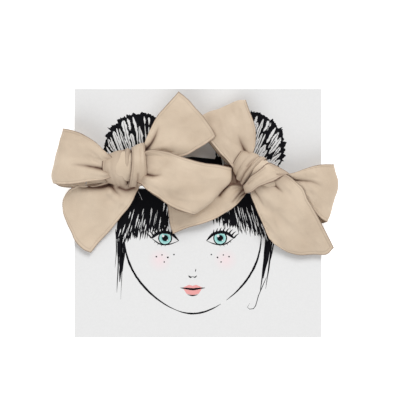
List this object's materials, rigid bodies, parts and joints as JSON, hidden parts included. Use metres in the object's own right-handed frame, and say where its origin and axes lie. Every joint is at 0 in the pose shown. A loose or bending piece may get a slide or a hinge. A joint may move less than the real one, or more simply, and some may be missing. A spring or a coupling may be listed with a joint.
{
  "type": "hair bow clips on a display card",
  "caption": "Hand-tied sateen hair bows on sprung metal clips, gripped on die-cut tongues of a nearly square printed display card; each clip slides off and its lower jaw opens.",
  "frame": {"origin": "centre of the display card's back face", "axes": "+Z out of the card's printed face, +X across the card to the right, +Y towards the card's top edge"},
  "size_m": [0.1588, 0.141, 0.0197],
  "materials": {
    "card": "smooth uncoated white board",
    "sateen": "soft beige cotton sateen",
    "clip_steel": "nickel-plated",
    "spring_steel": "bare spring steel",
    "lining_ribbon": "ribbed ribbon",
    "print_ink": "matte printed ink"
  },
  "bodies": {
    "card": {"display_card": "card"},
    "left_clip": {"left_clip_upper_arm": "clip_steel", "left_clip_pivot_pin": "clip_steel", "left_clip_spring": "spring_steel", "left_clip_lining": "lining_ribbon", "left_bow_knot": "sateen", "left_bow_outer_loop": "sateen", "left_bow_inner_loop": "sateen", "left_bow_outer_tail": "sateen", "left_bow_inner_tail": "sateen"},
    "left_jaw": {"left_clip_lower_jaw": "clip_steel"},
    "right_clip": {"right_clip_upper_arm": "clip_steel", "right_clip_pivot_pin": "clip_steel", "right_clip_spring": "spring_steel", "right_clip_lining": "lining_ribbon", "right_bow_knot": "sateen", "right_bow_outer_loop": "sateen", "right_bow_inner_loop": "sateen", "right_bow_outer_tail": "sateen", "right_bow_inner_tail": "sateen"},
    "right_jaw": {"right_clip_lower_jaw": "clip_steel"}
  },
  "joints": [
    {"name": "left_clip_slide", "type": "slide", "parent": "card", "child": "left_clip", "axis": [-1, 0, 0], "range_m": [0, 0.014]},
    {"name": "left_jaw_hinge", "type": "hinge", "parent": "left_clip", "child": "left_jaw", "pos_m": [-0.0482, 0.0194, 0.0024], "axis": [0, 1, 0], "range_deg": [0, 16], "stiffness_Nm_per_rad": 0.06, "springref_deg": -22.92, "deforming": ["left_clip_spring"]},
    {"name": "right_clip_slide", "type": "slide", "parent": "card", "child": "right_clip", "axis": [1, 0, 0], "range_m": [0, 0.014]},
    {"name": "right_jaw_hinge", "type": "hinge", "parent": "right_clip", "child": "right_jaw", "pos_m": [0.04, 0.0168, 0.0024], "axis": [0, -1, 0], "range_deg": [0, 16], "stiffness_Nm_per_rad": 0.06, "springref_deg": -22.92, "deforming": ["right_clip_spring"]}
  ]
}
